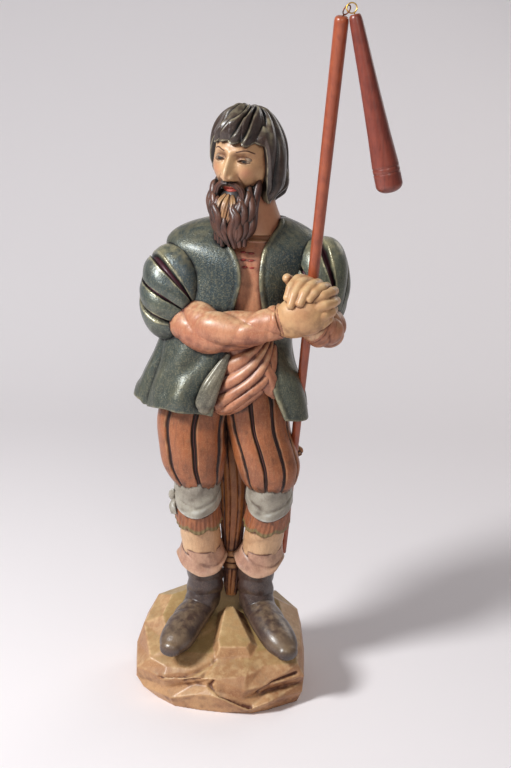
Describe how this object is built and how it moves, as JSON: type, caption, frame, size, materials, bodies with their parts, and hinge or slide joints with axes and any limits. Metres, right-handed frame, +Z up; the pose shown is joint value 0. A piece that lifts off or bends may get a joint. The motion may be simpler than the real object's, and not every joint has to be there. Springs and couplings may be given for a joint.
{
  "type": "wooden saint statue",
  "caption": "Carved and painted wooden figure of a bearded thresher in jacket, striped breeches and boots, hands round a flail, a wheat sheaf behind, standing on a faceted rock base",
  "frame": {"origin": "centre of the rock base, on its flat underside", "axes": "+Z up, the figure faces -Y, +X towards its left hand, which is the viewer's right"},
  "size_m": [0.2374, 0.2143, 0.6814],
  "materials": {
    "painted_wood": "painted and glazed, satin",
    "stained_rod": "satin",
    "stained_swipple": "satin",
    "eye_copper": "tarnished",
    "eye_brass": "bright"
  },
  "bodies": {
    "root": {"figure": "painted_wood", "flail_staff": "stained_rod", "staff_eye": "eye_copper", "flail_swipple": "stained_swipple", "swipple_eye": "eye_brass"}
  },
  "joints": []
}
